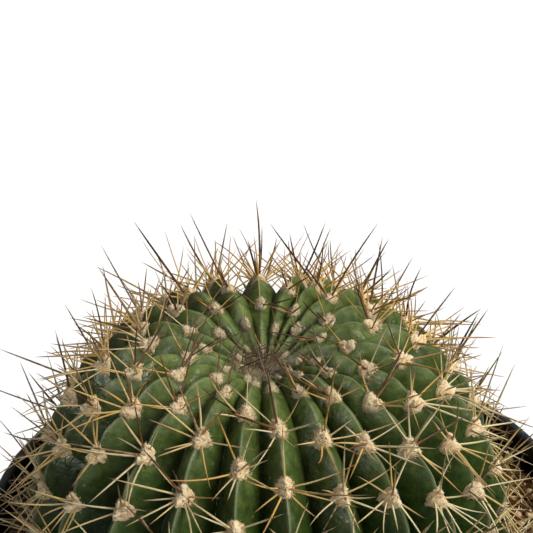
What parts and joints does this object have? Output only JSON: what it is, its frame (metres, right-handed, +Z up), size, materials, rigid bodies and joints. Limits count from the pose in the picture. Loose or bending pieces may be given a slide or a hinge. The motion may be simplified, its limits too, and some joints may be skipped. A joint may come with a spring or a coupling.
{
  "type": "potted round cactus",
  "caption": "Round ribbed cactus with felted areoles and long stiff spines, growing in soil in a round collared plastic nursery pot.",
  "frame": {"origin": "centre of the pot's underside, on the surface it stands on", "axes": "+Z up along the pot's axis, -Y towards the front that the picture shows, +X to that view's right"},
  "size_m": [0.1547, 0.1519, 0.1956],
  "materials": {
    "pot_plastic": "black moulded plastic, satin, dusty and lightly scuffed along the rim",
    "soil": "dry brown peat and coir fibre, crumbly and rough",
    "cactus_skin": "waxy dark green skin, lighter along the crests, satin gloss",
    "areole_felt": "pale pinkish-tan felt of short matted hairs",
    "spine": "stiff straw-coloured spines, the long ones brown to nearly black, dry and slightly glossy"
  },
  "bodies": {
    "root": {"pot": "pot_plastic", "soil": "soil", "cactus": "cactus_skin"}
  },
  "joints": []
}
